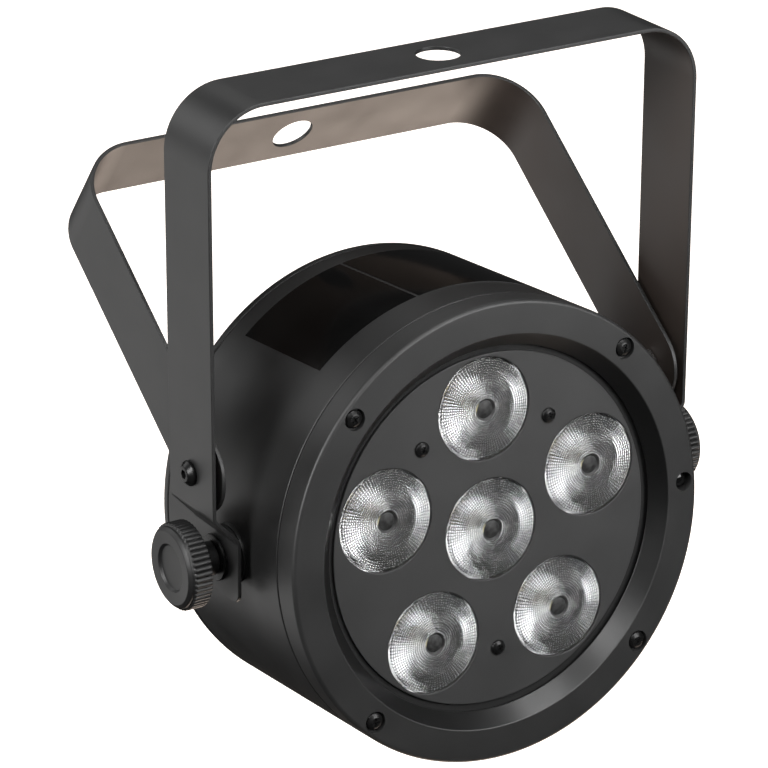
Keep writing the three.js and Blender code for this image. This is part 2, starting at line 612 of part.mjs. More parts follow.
const lensPlaces = [[0, 0], ...LENS_ANGLES.map((angle) => onCircle(LENS_CIRCLE, angle))];
lensPlaces.forEach(([x, z], i) => {
  place(lamp, `lens_${i}`, lens(), clear, x, 0, z);
  place(lamp, `emitter_${i}`, emitter(), emitterYellow, x, 0, z);
});
place(lamp, 'led_board', ledBoard(), whiteBoard);
place(lamp, 'heat_sink', heatSink(), aluminium);
place(lamp, 'power_supply', powerSupply(), greenBoard);
place(lamp, 'control_board', controlBoard(), greenBoard);

place(lamp, 'rear_cover', rearCover(), bodyPlastic);
REAR_SCREW_ANGLES.forEach((angle, i) => {
  const [x, z] = onCircle(REAR_SCREW_CIRCLE, angle);
  const screw = place(lamp, `rear_screw_${i + 1}`, crossScrew(2.6, 1.2, 1.35, 10), blackSteel,
    x, REAR_Y - 1.6 + GAP, z);
  screw.rotation.z = Math.PI;
});
place(lamp, 'display_window', displayWindow(), darkGloss);
BUTTON_XS.forEach((x, i) => {
  place(lamp, `menu_button_${i + 1}`, button(), knobPlastic, x, 0, BUTTON_Z);
});
place(lamp, 'data_in_socket', dataSocket(true), blackSteel, -SOCKET.x, 0, SOCKET.z);
place(lamp, 'data_out_socket', dataSocket(false), blackSteel, SOCKET.x, 0, SOCKET.z);
place(lamp, 'power_inlet', powerInlet(), knobPlastic, 0, 0, INLET.z);

export default light;
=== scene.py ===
"""Looks of a small round LED wash light on its double yoke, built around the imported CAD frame.

A piece is made in millimetres in one of three spaces (outer yoke, inner yoke, lamp) and placed in
metres.  Most sizes are read from the CAD nodes' boxes; what a box can't tell is a named value here.
"""

import json
import math
from bisect import bisect_right

import bmesh
import bpy
from mathutils import Matrix, Vector


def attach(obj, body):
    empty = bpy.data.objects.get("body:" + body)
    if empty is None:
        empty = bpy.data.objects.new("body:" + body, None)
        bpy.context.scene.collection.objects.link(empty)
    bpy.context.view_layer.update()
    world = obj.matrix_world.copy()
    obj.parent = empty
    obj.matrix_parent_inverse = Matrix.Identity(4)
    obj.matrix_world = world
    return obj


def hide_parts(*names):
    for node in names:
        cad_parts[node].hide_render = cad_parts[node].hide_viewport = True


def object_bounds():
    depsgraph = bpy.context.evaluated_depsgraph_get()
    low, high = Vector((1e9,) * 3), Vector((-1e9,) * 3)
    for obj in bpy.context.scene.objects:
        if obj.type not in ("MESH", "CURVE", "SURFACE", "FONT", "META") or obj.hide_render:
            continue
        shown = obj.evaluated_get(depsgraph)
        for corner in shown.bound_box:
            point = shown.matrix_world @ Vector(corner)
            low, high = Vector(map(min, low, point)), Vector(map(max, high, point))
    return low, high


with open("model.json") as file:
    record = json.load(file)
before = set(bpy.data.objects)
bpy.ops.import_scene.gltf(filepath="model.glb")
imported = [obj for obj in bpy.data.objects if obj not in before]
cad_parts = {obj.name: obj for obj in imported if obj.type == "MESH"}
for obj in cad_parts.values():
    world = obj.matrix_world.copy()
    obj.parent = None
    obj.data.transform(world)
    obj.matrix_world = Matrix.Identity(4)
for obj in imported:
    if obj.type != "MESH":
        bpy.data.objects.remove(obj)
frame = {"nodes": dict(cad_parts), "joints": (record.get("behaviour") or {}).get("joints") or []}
cad_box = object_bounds()

MM = 0.001
GAP = 0.3                           # the CAD pieces stand this far apart

# yokes
STRIP = 1.2                         # thickness of the bent strips
CORNER_BEND = 17.5                  # centre-line radius of the crossbars' corners
STEP_BEND = 2.5
STEP_TOP = 17.4                     # the outer legs step inwards between these heights
STEP_BOTTOM = 8.8
LOW_LEG_HALF_WIDTH = 74.6
LEG_CORNER = 3
CLAMP_HOLE = 6.5
HINGE_HOLE = 2.4
STUD_HOLE = 3.4
HEX_RADIUS = 1.45                   # corner radius of the hinge bolts' sockets
HEX_DEPTH = 2.6                     # twice the depth that shows
EDGE = 0.22                         # rounding of a sheet's cut edges

# housing and its blank labels
WALL = 2.6
SIDE_HOLE = 4.6                     # radius of the holes for the brass inserts
LABEL_ARCS = ((99.6, 130), (68, 98.8))  # degrees round the barrel from the lamp's right
LABEL_MARGINS = (13, 8)             # from the barrel's front and back edges
LABEL_FILM = 0.12
LABEL_LIFT = 0.02
LABEL_STEPS = 40

# front
BEZEL_SCREWS = 4
FACE_SCREWS = 3
SCREW_BOSS = 3.9
SCREW_HOLE = 1.7
COUNTERBORE = 3.3
COUNTERBORE_DEPTH = 1.5
RECEIVER_HOLE = 2.9
FACE_SCREW_HOLE = 1.6
FACE_DEPTH = 2.9                    # thickness of the bezel behind its flat face
LIP_BACK_RADIUS = 58.6
LIP_RADIUS = 55.2                   # inner edge of the bezel's bevel
FACE_RADIUS = 59.9                  # inner edge of the bezel's flat face
GROOVE = 1.6                        # width of the groove round the face plate, which holds a dark ring as painted shadow
SHADOW_RING_LAP = 0.6                    # how far the groove's ring reaches behind the plate's edge
SHADOW_RING_DEPTH = 0.9

# screws
SHANK = 1.3
CROSS_WIDTH = 0.6
CROSS_REACH = 1.15                  # length of the cross recess, as a share of the head's radius
CROSS_TAPER = 0.55
FIRST_TURN = 20                     # degrees the first recess is turned
NEXT_TURN = 37

# lenses
LENSES = 6
LENS_FLANGE = 1.1                   # the flange behind the plate is this much wider than the hole
LENS_RINGS = 16
LENS_SPOKES = 92
CELL = (0, 0.17, 0.5, 0.83)         # mesh lines across one dome, as shares of its width
DIMPLE = 0.2                        # height of one dome
LENS_EYE = 3.3                      # smooth middle of the lens
EYE_RINGS = ((2.2, 0.25), (2.7, 0.5))  # radius of each ring in the eye, and how far it lies back
LENS_SAG = 0.8                      # how far the lens's rim lies behind its middle
CLEAR_LOOK, WALL_LOOK, VALLEY_LOOK, EYE_LOOK, GLINT_LOOK = range(5)
GLINT_ARC = (268, 312)              # degrees round the eye's rim where a painted glint of the emitter's yellow shows
FULL_DOMES = 7                      # the domes are shallower inside this radius
POCKET = 3.4                        # radius of the pocket over the emitter
LENS_BACK = ((12.6, -22.4, 8), (6, -16.5, 0.1), (POCKET, -16.5, 0.1), (POCKET, -20, 0.3), (0, -20.6, 0))

# knobs
KNOB_RIBS = 48
RIB_STEPS = 8
RIB_DEPTH = 0.65
GRIP = 7.3                          # length of the ribbed part
RIM_INSET = 0.9                     # the plain front rim is this much smaller
KNOB_DISH = 1.1                     # depth of the recessed middle
HUB = 5

# rear
REAR_SCREWS = 4
REAR_COUNTERBORE = 3.1
BUTTONS = 4
BUTTON_HOLE = 3.3
SOCKET_HOLE = 11.7
INLET_BODY = (28, 20)
INLET_WALL = 2
MOUTH_TAPER = 0.72                  # width of the mouth's top, as a share of its bottom
CUT = 20                            # depth of the tools that cut the rear panel
PANEL_DEPTH = 2                     # the panel lies this far inside the cover's rim
VENTS = 4                           # slots on each side
VENT_SLOT = (2.4, 15)
VENT_FIRST = (34, 20)               # middle of the inmost slot
VENT_STEP = (5, -2)
FLANGE = 1.4                        # thickness of the sockets' and the inlet's flanges
POLE_CIRCLE = 4
POLE_ANGLES = (-50, 90, 230)
SOCKET_FLOOR = 27                   # the bottom of the pinned socket's cup

ROUND = 192                         # steps round the body
SMALL_ROUND = 64


# ---- spaces -------------------------------------------------------------------------------------

joints = {joint["name"]: joint for joint in frame["joints"]}


def space(origin, y_axis):
    """A space in metres at origin: X as in the object, Y along y_axis."""
    x = Vector((1, 0, 0))
    y = Vector(y_axis)
    y = Vector((0, y.y, y.z)).normalized()
    turn = Matrix((x, y, x.cross(y))).transposed().to_4x4()
    return Matrix.Translation(Vector(origin)) @ turn


SWING = math.radians(90 - joints["rear_yoke_swing"]["range_deg"][1])
OUTER = space(joints["lamp_tilt"]["pos_m"], (0, 1, 0))
INNER = space(joints["rear_yoke_swing"]["pos_m"], (0, math.cos(SWING), -math.sin(SWING)))
LAMP = space(joints["lamp_tilt"]["pos_m"], -Vector(joints["menu_button_1_press"]["axis"]))
HINGE_UP = (joints["rear_yoke_swing"]["pos_m"][2] - joints["lamp_tilt"]["pos_m"][2]) / MM
LEFT = Matrix.Rotation(math.pi, 4, "Z")


def reach(node, where=LAMP):
    """Lowest and highest corner of a CAD node, in millimetres in a space."""
    back = where.inverted()
    points = [back @ vertex.co / MM for vertex in frame["nodes"][node].data.vertices]
    return [Vector([pick(p[i] for p in points) for i in range(3)]) for pick in (min, max)]


def middle(node, where=LAMP):
    """Middle of a CAD node's box, in millimetres in a space."""
    low, high = reach(node, where)
    return (low + high) / 2


# ---- materials ----------------------------------------------------------------------------------

def grey(value):
    return (value, value, value, 1)


class Shader:
    """A Principled material with object-space noise helpers."""

    def __init__(self, name, **sockets):
        self.material = bpy.data.materials.new(name)
        self.material.use_nodes = True
        self.nodes = self.material.node_tree.nodes
        self.links = self.material.node_tree.links
        self.principled = self.nodes["Principled BSDF"]
        for socket, value in sockets.items():
            self.principled.inputs[socket.replace("_", " ")].default_value = value
        self.place = self.nodes.new("ShaderNodeTexCoord").outputs["Object"]

    def noise(self, size_mm, detail=2.0, stretch=(1, 1, 1)):
        scaled = self.nodes.new("ShaderNodeMapping")
        scaled.inputs["Scale"].default_value = stretch
        self.links.new(self.place, scaled.inputs["Vector"])
        noise = self.nodes.new("ShaderNodeTexNoise")
        noise.inputs["Scale"].default_value = 1 / (size_mm * MM)
        noise.inputs["Detail"].default_value = detail
        self.links.new(scaled.outputs["Vector"], noise.inputs["Vector"])
        return noise.outputs["Fac"]

    def spread(self, value, low, high):
        """Maps the middle of a noise to the range low..high."""
        ramp = self.nodes.new("ShaderNodeMapRange")
        ramp.inputs["From Min"].default_value = 0.3
        ramp.inputs["From Max"].default_value = 0.7
        ramp.inputs["To Min"].default_value = low
        ramp.inputs["To Max"].default_value = high
        self.links.new(value, ramp.inputs["Value"])
        return ramp.outputs["Result"]

    def colours(self, value, dark, light):
        ramp = self.nodes.new("ShaderNodeValToRGB")
        ramp.color_ramp.elements[0].position = 0.3
        ramp.color_ramp.elements[0].color = dark
        ramp.color_ramp.elements[1].position = 0.7
        ramp.color_ramp.elements[1].color = light
        self.links.new(value, ramp.inputs["Fac"])
        self.links.new(ramp.outputs["Color"], self.principled.inputs["Base Color"])

    def roughness(self, value, low, high):
        self.links.new(self.spread(value, low, high), self.principled.inputs["Roughness"])

    def bump(self, value, depth_mm, strength=1.0):
        bump = self.nodes.new("ShaderNodeBump")
        bump.inputs["Distance"].default_value = depth_mm * MM
        bump.inputs["Strength"].default_value = strength
        self.links.new(value, bump.inputs["Height"])
        self.links.new(bump.outputs["Normal"], self.principled.inputs["Normal"])


def grained(name, dark, light, rough, grain_mm, depth_mm, mottle_mm=14, **sockets):
    """A moulded or coated surface: slow mottling of colour and gloss, and a fine grain."""
    shader = Shader(name, **sockets)
    slow = shader.noise(mottle_mm, 3)
    shader.colours(slow, dark, light)
    shader.roughness(slow, *rough)
    shader.bump(shader.noise(grain_mm, 2), depth_mm)
    return shader.material


def drawn_metal(name, dark, light, rough, stretch=(1, 1, 8)):
    """Bare metal with fine lines along the stretched axis."""
    shader = Shader(name, Metallic=1.0)
    fine = shader.noise(0.6, 3, stretch)
    shader.colours(fine, dark, light)
    shader.roughness(fine, *rough)
    shader.bump(fine, 0.004)
    return shader.material


def speckled(name, dark, light, rough, size_mm, **sockets):
    """A board or a gloss surface with faint printed or moulded variation."""
    shader = Shader(name, **sockets)
    value = shader.noise(size_mm, 4)
    shader.colours(value, dark, light)
    shader.roughness(value, *rough)
    return shader.material


POWDER = grained("powder_coat", grey(0.020), grey(0.024), (0.40, 0.46), 0.5, 0.012)
# a warmer, lighter copy of the powder coat for the strips' inner faces: painted warm light reflected from
# below
POWDER_PAINTED_WARM_LIGHT = grained("powder_coat_painted_warm_light", (0.034, 0.026, 0.022, 1), (0.042, 0.032, 0.027, 1),
                        (0.42, 0.5), 0.5, 0.012)
HOUSING = grained("housing_plastic", grey(0.012), grey(0.015), (0.36, 0.42), 0.45, 0.008)
BEZEL = grained("bezel_plastic", grey(0.018), grey(0.022), (0.40, 0.46), 0.45, 0.008)
# a much darker copy of the bezel's plastic for its bevel: painted shade in the recess round the face plate
BEVEL_PAINTED_SHADE = grained("bevel_painted_shade", grey(0.004), grey(0.005), (0.30, 0.36), 0.45, 0.006)
PLATE = grained("plate_coat", grey(0.028), grey(0.033), (0.50, 0.58), 0.45, 0.015)
KNOB = grained("knob_plastic", grey(0.011), grey(0.015), (0.40, 0.48), 0.35, 0.006)
LABEL = grained("label_film", grey(0.002), grey(0.003), (0.10, 0.14), 0.8, 0.002, 30)
GLOSS = grained("window_gloss", grey(0.004), grey(0.006), (0.05, 0.08), 3, 0.002, 30)
SCREW = grained("black_screw", grey(0.012), grey(0.02), (0.24, 0.34), 0.3, 0.004, 2, Metallic=0.6)
RUBBER = grained("pad_rubber", grey(0.003), grey(0.005), (0.7, 0.8), 0.5, 0.02)
NYLON = grained("washer_nylon", grey(0.5), grey(0.56), (0.4, 0.5), 0.5, 0.01)
STEEL = drawn_metal("zinc_steel", grey(0.5), grey(0.64), (0.22, 0.32))
BRASS = drawn_metal("turned_brass", (0.55, 0.38, 0.13, 1), (0.66, 0.48, 0.2, 1), (0.25, 0.35))
ALUMINIUM = drawn_metal("extruded_aluminium", grey(0.5), grey(0.6), (0.3, 0.42))
WHITE_BOARD = speckled("white_board", grey(0.6), grey(0.68), (0.4, 0.5), 1.5)
GREEN_BOARD = speckled("green_board", (0.01, 0.08, 0.03, 1), (0.02, 0.13, 0.05, 1), (0.3, 0.5), 2.5)
CHIP = speckled("emitter_chip", (0.55, 0.42, 0.1, 1), (0.8, 0.66, 0.25, 1), (0.2, 0.3), 0.6)


def acrylic(name, tint, rough):
    """A clear moulding, or a dark tinted one that paints shade."""
    shader = Shader(name, Base_Color=tint, IOR=1.49, Transmission_Weight=1.0)
    shader.roughness(shader.noise(3, 2), *rough)
    return shader.material


ACRYLIC = acrylic("lens_acrylic", (0.98, 0.99, 1, 1), (0.015, 0.03))
# dark, rough tint for the valleys between the lens's domes: painted shade
VALLEY_PAINTED_SHADE = acrylic("lens_valley_painted_shade", grey(0.004), (0.3, 0.36))
# opaque dark middle of each lens: painted shade in place of the view through the clear centre
EYE_PAINTED_SHADE = grained("lens_eye_painted_shade", grey(0.004), grey(0.04), (0.5, 0.65), 0.8, 0.05, 1.1)
# yellow patch on the eye's rim: painted glint of the emitter seen through the lens
GLINT = speckled("painted_emitter_glint", (0.62, 0.56, 0.3, 1), (0.85, 0.8, 0.55, 1), (0.2, 0.3), 0.6)
SILVER = drawn_metal("silvered_wall", grey(0.86), grey(0.93), (0.05, 0.09), (1, 1, 1))

CAD_LOOKS = {
    "hinge_nut": STEEL, "led_board": WHITE_BOARD, "heat_sink": ALUMINIUM,
    "power_supply": GREEN_BOARD, "control_board": GREEN_BOARD, "emitter": CHIP,
}


def dress_cad_nodes():
    """Gives the CAD nodes that stay on show their own materials."""
    for name, thing in frame["nodes"].items():
        for prefix, material in CAD_LOOKS.items():
            if name.startswith(prefix):
                thing.data.materials.clear()
                thing.data.materials.append(material)


# ---- meshes -------------------------------------------------------------------------------------

def rounded(corners, steps=5):
    """A closed outline of (a, b, radius) corners, each rounded to its radius."""
    points = []
    count = len(corners)
    for i, (a, b, radius) in enumerate(corners):
        here = Vector((a, b))
        if radius == 0:
            points.append(here)
            continue
        before = (Vector(corners[i - 1][:2]) - here).normalized()
        after = (Vector(corners[(i + 1) % count][:2]) - here).normalized()
        half = before.angle(after) / 2
        centre = here + (before + after).normalized() * radius / math.sin(half)
        start = here + before * radius / math.tan(half) - centre
        end = here + after * radius / math.tan(half) - centre
        for k in range(steps + 1):
            points.append(centre + start.slerp(end, k / steps).normalized() * radius)
    return points


def corners_between(near, far, k):
    """Corners of the k-th face between two rings of vertices; a ring of one vertex is a point."""
    corners = [near[k % len(near)], near[(k + 1) % len(near)], far[(k + 1) % len(far)], far[k % len(far)]]
    return list(dict.fromkeys(corners))


def lathe(profile, steps=ROUND, wave=None):
    """Turns a closed outline of (radius, y) points about Y; wave may move a point's radius."""
    bm = bmesh.new()
    rings = []
    for radius, y in profile:
        if radius < 1e-6:
            rings.append([bm.verts.new((0, y, 0))])
            continue
        turned = []
        for k in range(steps):
            angle = 2 * math.pi * k / steps
            r = wave(radius, y, angle) if wave else radius
            turned.append(bm.verts.new((r * math.sin(angle), y, r * math.cos(angle))))
        rings.append(turned)
    for low, high in zip(rings, rings[1:] + rings[:1]):
        for k in range(steps):
            corners = corners_between(low, high, k)
            if len(corners) > 2:
                bm.faces.new(corners)
    bmesh.ops.recalc_face_normals(bm, faces=bm.faces)
    return bm


def ring(inner, outer, low, high, soft=0.2, steps=SMALL_ROUND):
    """A softened tube about Y."""
    return lathe(rounded([(inner, low, soft), (outer, low, soft), (outer, high, soft),
                          (inner, high, soft)], 3), steps)


def disc(radius, low, high, soft=0.2, steps=SMALL_ROUND):
    """A softened disc about Y."""
    return lathe(rounded([(0, low, 0), (radius, low, soft), (radius, high, soft), (0, high, 0)], 4), steps)


def box(width, depth, height, centre=(0, 0, 0)):
    bm = bmesh.new()
    bmesh.ops.create_cube(bm, size=1)
    bmesh.ops.scale(bm, vec=(width, depth, height), verts=bm.verts)
    bmesh.ops.translate(bm, vec=centre, verts=bm.verts)
    return bm


def soften(bm, width, steps=3):
    """Rounds every edge."""
    bmesh.ops.bevel(bm, geom=bm.edges[:], offset=width, segments=steps, profile=0.5, affect="EDGES")
    return bm


def moved(bm, matrix):
    bm.transform(matrix)
    if matrix.determinant() < 0:
        bmesh.ops.reverse_faces(bm, faces=bm.faces)
    return bm


def shifted(bm, x=0, y=0, z=0):
    return moved(bm, Matrix.Translation((x, y, z)))


# turns a lathe's Y axis to point along X
ALONG_X = Matrix.Rotation(-math.pi / 2, 4, "Z")


def plain_object(name, bm):
    mesh = bpy.data.meshes.new(name)
    bm.to_mesh(mesh)
    bm.free()
    thing = bpy.data.objects.new(name, mesh)
    bpy.context.scene.collection.objects.link(thing)
    return thing


def settle(thing):
    """Puts an object's modifiers into its mesh."""
    evaluated = thing.evaluated_get(bpy.context.evaluated_depsgraph_get())
    mesh = bpy.data.meshes.new_from_object(evaluated)
    thing.modifiers.clear()
    thing.data = mesh


def combine(bm, others, operation="DIFFERENCE"):
    """Cuts closed meshes out of one, or joins them to it."""
    base = plain_object("base", bm)
    tools = [plain_object("tool", other) for other in others]
    for tool in tools:
        modifier = base.modifiers.new("combine", "BOOLEAN")
        modifier.operation = operation
        modifier.solver = "EXACT"
        modifier.object = tool
    settle(base)
    result = bmesh.new()
    result.from_mesh(base.data)
    for used in (base, *tools):
        bpy.data.objects.remove(used)
    return result


def piece(name, bm, where, material, body, replaces=(), sharp=35, weighted=True, more=()):
    """Places a mesh made in millimetres in a space, as a finished piece of the object."""
    moved(bm, where @ Matrix.Scale(MM, 4))
    thing = plain_object(name, bm)
    mesh = thing.data
    for used in (material, *more):
        mesh.materials.append(used)
    mesh.shade_smooth()
    mesh.set_sharp_from_angle(angle=math.radians(sharp))
    if weighted:
        modifier = thing.modifiers.new("normals", "WEIGHTED_NORMAL")
        modifier.keep_sharp = True
        settle(thing)
    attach(thing, body)
    if replaces:
        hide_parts(*replaces)
    return thing


# ---- sheets -------------------------------------------------------------------------------------

def arc(cx, cy, radius, start, end, steps):
    return [(cx + radius * math.cos(math.radians(start + (end - start) * k / steps)),
             cy + radius * math.sin(math.radians(start + (end - start) * k / steps)))
            for k in range(steps + 1)]


def circle(x, y, radius, steps=48):
    return arc(x, y, radius, 0, 360, steps)[:-1]


def sheet(outline, holes, thickness, edge=EDGE):
    """A flat sheet in X and Y, centred on Z 0, with holes and rounded cut edges."""
    curve = bpy.data.curves.new("outline", "CURVE")
    curve.dimensions = "2D"
    curve.fill_mode = "BOTH"
    curve.extrude = thickness / 2 - edge
    curve.bevel_depth = edge
    curve.bevel_resolution = 2
    curve.offset = -edge
    for points in (outline, *holes):
        spline = curve.splines.new("POLY")
        spline.points.add(len(points) - 1)
        for point, (x, y) in zip(spline.points, points):
            point.co = (x, y, 0, 1)
        spline.use_cyclic_u = True
    drawn = bpy.data.objects.new("outline", curve)
    bpy.context.scene.collection.objects.link(drawn)
    mesh = bpy.data.meshes.new_from_object(drawn.evaluated_get(bpy.context.evaluated_depsgraph_get()))
    bm = bmesh.new()
    bm.from_mesh(mesh)
    bpy.data.objects.remove(drawn)
    bmesh.ops.remove_doubles(bm, verts=bm.verts, dist=0.001)
    bmesh.ops.recalc_face_normals(bm, faces=bm.faces)
    return bm


def centre_line(corners, radii, degrees_per_step=4):
    """Stations (length, point, normal) along a line through corners, each rounded to its radius."""
    stations = []
    length = 0
    here = Vector(corners[0])
    for i in range(1, len(corners)):
        corner = Vector(corners[i])
        before = (corner - Vector(corners[i - 1])).normalized()
        normal = Vector((-before.y, before.x))
        if not stations:
            stations.append((0, here.copy(), normal))
        if i == len(corners) - 1:
            stations.append((length + (corner - here).length, corner, normal))
            break
        after = (Vector(corners[i + 1]) - corner).normalized()
        angle = -before.angle_signed(after)
        radius = radii[i - 1]
        start = corner - before * radius * math.tan(abs(angle) / 2)
        length += (start - here).length
        centre = start + normal * math.copysign(radius, angle)
        steps = max(4, round(math.degrees(abs(angle)) / degrees_per_step))
        for k in range(steps + 1):
            turned = normal.copy()
            turned.rotate(Matrix.Rotation(angle * k / steps, 2))
            point = centre - turned * math.copysign(radius, angle)
            stations.append((length + radius * abs(angle) * k / steps, point, turned))
        length += radius * abs(angle)
        here = stations[-1][1]
    return stations


def fold(bm, stations):
    """Bends a flat sheet, whose X is length along a centre line, so that it follows the line."""
    for length, _, _ in stations[1:-1]:
        everything = bm.verts[:] + bm.edges[:] + bm.faces[:]
        bmesh.ops.bisect_plane(bm, geom=everything, dist=1e-4, plane_co=(length, 0, 0), plane_no=(1, 0, 0))
    lengths = [station[0] for station in stations]
    for vertex in bm.verts:
        i = min(max(bisect_right(lengths, vertex.co.x), 1), len(stations) - 1)
        low, high = stations[i - 1], stations[i]
        share = (vertex.co.x - low[0]) / (high[0] - low[0])
        point = low[1].lerp(high[1], share)
        normal = low[2].lerp(high[2], share).normalized() * vertex.co.z
        vertex.co = (point.x + normal.x, vertex.co.y, point.y + normal.y)
    bmesh.ops.recalc_face_normals(bm, faces=bm.faces)
    return bm


def length_at(stations, height):
    """Length along the first leg of a centre line at which it reaches a height."""
    for low, high in zip(stations, stations[1:]):
        if low[1].y <= height <= high[1].y:
            share = (height - low[1].y) / (high[1].y - low[1].y)
            return low[0] + share * (high[0] - low[0])
    raise ValueError(height)


def strip_yoke(stations, half, leg_corner, pivots):
    """A bent strip whose legs end in rounded corners; pivots are (height, radius) of its holes."""
    total = stations[-1][0]
    r = leg_corner
    outline = (arc(r, -half + r, r, 180, 270, 12) + arc(total - r, -half + r, r, 270, 360, 12)
               + arc(total - r, half - r, r, 0, 90, 12) + arc(r, half - r, r, 90, 180, 12))
    outline = [p for p, q in zip(outline, outline[1:] + outline[:1]) if math.dist(p, q) > 1e-3]
    holes = [circle(total / 2, 0, CLAMP_HOLE)]
    for height, radius in pivots:
        along = length_at(stations, height)
        holes += [circle(along, 0, radius, 32), circle(total - along, 0, radius, 32)]
    flat = sheet(outline, holes, STRIP)
    for face in flat.faces:
        # the upper face folds to the inside of the yoke and takes the warmer, lighter copy of the powder
        # coat: painted warm light from below
        face.material_index = int(face.calc_center_median().z > STRIP / 2 - 0.01)
    return fold(flat, stations)


def mirror_line(right):
    """The whole centre line of a yoke from its right half, listed upwards."""
    return right + [(-x, z) for x, z in reversed(right)]


def outer_yoke():
    """The tall bail, whose legs step inwards to the knobs."""
    low, high = reach("outer_yoke", OUTER)
    x = high.x - STRIP / 2
    x_low = LOW_LEG_HALF_WIDTH - STRIP / 2
    top = high.z - STRIP / 2
    corners = mirror_line([(x_low, low.z), (x_low, STEP_BOTTOM), (x, STEP_TOP), (x, top)])
    radii = [STEP_BEND, STEP_BEND, CORNER_BEND, CORNER_BEND, STEP_BEND, STEP_BEND]
    bm = strip_yoke(centre_line(corners, radii), high.y, LEG_CORNER,
                    [(0, STUD_HOLE), (HINGE_UP, HINGE_HOLE)])
    piece("outer_yoke_strip", bm, OUTER, POWDER, "outer_yoke", ["outer_yoke"],
          more=[POWDER_PAINTED_WARM_LIGHT])


def inner_yoke():
    """The lower bail, which hangs on the hinge bolts by its rounded leg ends."""
    low, high = reach("inner_yoke", INNER)
    x = high.x - STRIP / 2
    corners = mirror_line([(x, low.z), (x, high.z - STRIP / 2)])
    bm = strip_yoke(centre_line(corners, [CORNER_BEND] * 2), high.y, high.y - 0.01, [(0, HINGE_HOLE)])
    piece("inner_yoke_strip", bm, INNER, POWDER, "inner_yoke", ["inner_yoke"],
          more=[POWDER_PAINTED_WARM_LIGHT])


# ---- hinges and tilt pivots ---------------------------------------------------------------------

def both_sides(name, make, where, material, body):
    """The right-hand piece, and the same piece turned half round for the left; SIDE in a body is the side."""
    for side, turn in (("right", Matrix()), ("left", LEFT)):
        rides = body.replace("SIDE", side)
        piece(f"{name}_{side}_fine", moved(make(), turn), where, material, rides, [f"{name}_{side}"])


def hinge_bolt():
    """A button-head bolt with a hexagon socket."""
    low, high = reach("hinge_bolt_right", OUTER)
    face = reach("outer_yoke", OUTER)[1].x + GAP
    head = high.z - HINGE_UP
    shank = HINGE_HOLE - 0.4
    profile = rounded([(0, low.x, 0), (shank, low.x, 0.3), (shank, face, 0), (head, face, 0.2),
                       (head, face + 0.7, 0.6), (head * 0.6, high.x - 0.05, 0.8), (0, high.x, 0)], 4)
    socket = bmesh.new()
    bmesh.ops.create_cone(socket, cap_ends=True, segments=6, radius1=HEX_RADIUS, radius2=HEX_RADIUS,
                          depth=HEX_DEPTH)
    moved(socket, Matrix.Translation((high.x, 0, 0)) @ Matrix.Rotation(math.pi / 2, 4, "Y"))
    return shifted(combine(moved(lathe(profile, SMALL_ROUND), ALONG_X), [socket]), z=HINGE_UP)


def turned_ring(node, where, inner, height=0):
    """A washer or a pad about the X axis, from its CAD node's box."""
    low, high = reach(node, where)
    outer = (high.z - low.z) / 2
    soft = min(0.25, (high.x - low.x) / 4)
    return shifted(moved(ring(inner, outer, low.x, high.x, soft), ALONG_X), z=height)


def knob_stud():
    """A plain stud with a pointed end."""
    low, high = reach("knob_stud_right")
    radius = high.z
    return moved(lathe(rounded([(0, low.x, 0), (radius - 0.6, low.x, 0), (radius, low.x + 0.8, 0.2),
                                (radius, high.x, 0.1), (0, high.x, 0)], 3), 40), ALONG_X)


def knob():
    """Ribbed clamp knob: hub, grip with rounded ribs, plain front rim and a recessed middle."""
    low, high = reach("knob_right")
    radius = high.z
    face = high.x
    back = face - GRIP
    rim = radius - RIM_INSET
    dish = face - KNOB_DISH
    profile = rounded([
        (0, dish, 0), (6.6, dish, 0.4), (7.2, face - 0.25, 0.4), (rim - 1.2, face, 0.5),
        (rim, face - 0.9, 0.5), (rim, face - 1.5, 0.15), (radius, face - 1.9, 0.3), (radius, back + 0.3, 0.3),
        (radius - 0.8, back, 0.4), (HUB, back, 0.4), (HUB, low.x, 0.3), (STUD_HOLE, low.x, 0.2),
        (STUD_HOLE, face - 4, 0), (0, face - 4, 0)], 4)

    def ribs(r, x, angle):
        """Full ribs at the grip's radius, none at the front rim's."""
        fade = min(max((r - rim) / (radius - rim), 0), 1)
        wave = abs(math.sin(angle * KNOB_RIBS / 2)) ** 0.7
        return r - RIB_DEPTH * fade * (1 - wave)

    return moved(lathe(profile, KNOB_RIBS * RIB_STEPS, ribs), ALONG_X)


def pivots():
    """Everything on the two hinge bolts and the two tilt knobs."""
    both_sides("hinge_bolt", hinge_bolt, OUTER, SCREW, "outer_yoke")
    both_sides("hinge_washer", lambda: turned_ring("hinge_washer_right", OUTER, HINGE_HOLE, HINGE_UP),
               OUTER, NYLON, "outer_yoke")
    both_sides("knob", knob, LAMP, KNOB, "knob_SIDE")
    both_sides("knob_stud", knob_stud, LAMP, STEEL, "knob_SIDE")
    both_sides("knob_washer", lambda: turned_ring("knob_washer_right", LAMP, STUD_HOLE), LAMP,
               SCREW, "knob_SIDE")
    both_sides("pivot_pad", lambda: turned_ring("pivot_pad_right", LAMP, STUD_HOLE), LAMP,
               RUBBER, "lamp")
    both_sides("pivot_insert", lambda: turned_ring("pivot_insert_right", LAMP, STUD_HOLE - 0.1), LAMP,
               BRASS, "lamp")


# ---- body ---------------------------------------------------------------------------------------

def rod(x, z, radius, low, high, steps=SMALL_ROUND):
    """A plain rod along Y, to cut a hole or make a boss."""
    return shifted(lathe([(0, low), (radius, low), (radius, high), (0, high)], steps), x=x, z=z)


